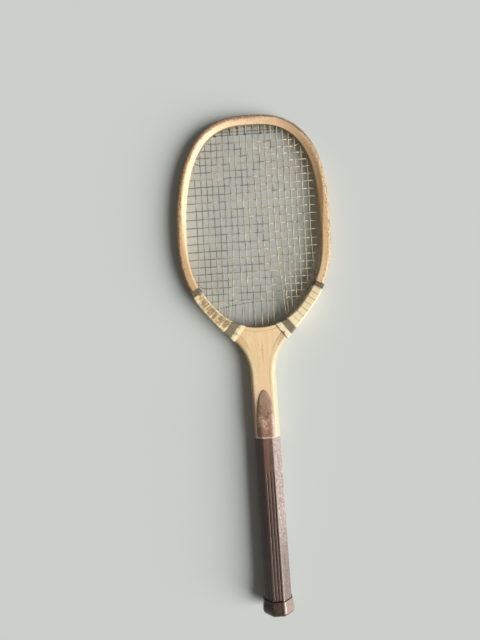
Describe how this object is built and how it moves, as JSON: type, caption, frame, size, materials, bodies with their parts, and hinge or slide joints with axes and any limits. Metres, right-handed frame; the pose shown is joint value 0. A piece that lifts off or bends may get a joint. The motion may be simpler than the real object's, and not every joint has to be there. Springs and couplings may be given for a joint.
{
  "type": "wooden tennis racket",
  "caption": "Old wooden lawn tennis racket: bent ash bow, throat wedge, laced gut strings, tape-bound shoulders and a fluted octagonal handle with a flared butt cap.",
  "frame": {"origin": "below the middle of the racket's length, on the surface that its butt cap lies on", "axes": "+Y from the butt end to the tip of the head, +Z out of the front face, +X to the right as seen from the front with the tip up"},
  "size_m": [0.2121, 0.686, 0.0358],
  "materials": {
    "ash": "old varnish, worn",
    "throat": "old varnish",
    "handle": "dark stain, worn glossy",
    "cap": "polished by use",
    "thread": "waxed thread",
    "tape": "cream cloth tape, worn",
    "gut": "dull natural gut"
  },
  "bodies": {
    "root": {"bow": "ash", "throat_yoke": "throat", "throat_wedge": "throat", "handle_front": "handle", "handle_back": "handle", "handle_left": "handle", "handle_right": "handle", "butt_cap": "cap", "upper_thread_left": "thread", "upper_thread_right": "thread", "lower_thread_left": "thread", "lower_thread_right": "thread", "long_wrap_left": "tape", "long_wrap_right": "tape", "short_wrap_left": "tape", "short_wrap_right": "tape", "main_string": "gut", "cross_string": "gut", "treble_top": "gut", "treble_bottom": "gut"}
  },
  "joints": []
}
